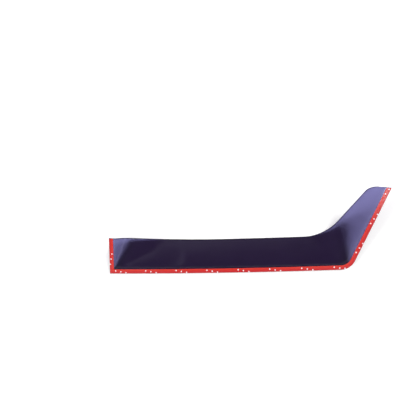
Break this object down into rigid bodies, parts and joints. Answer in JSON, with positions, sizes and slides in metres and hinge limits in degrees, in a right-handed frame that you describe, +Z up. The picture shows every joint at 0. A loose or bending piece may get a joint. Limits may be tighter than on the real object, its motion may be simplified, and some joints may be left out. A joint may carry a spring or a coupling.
{
  "type": "window rain deflector",
  "caption": "Smoked acrylic front-window rain deflector: a shallow dished panel with a raked arm, and foam tape with a red liner on its flange.",
  "frame": {"origin": "middle of the resting part's box, on the table", "axes": "+X along the long edge towards the arm, +Y from the long edge towards the free edge, +Z up with the inner side uppermost"},
  "size_m": [0.686, 0.1904, 0.0697],
  "materials": {
    "smoked_acrylic": "polished, see-through smoke tint",
    "foam": "matt closed-cell foam",
    "release_liner": "smooth printed film"
  },
  "bodies": {
    "root": {"visor_shell": "smoked_acrylic", "foam_tape_long": "foam", "foam_tape_end": "foam", "liner_long": "release_liner", "liner_end": "release_liner"}
  },
  "joints": []
}
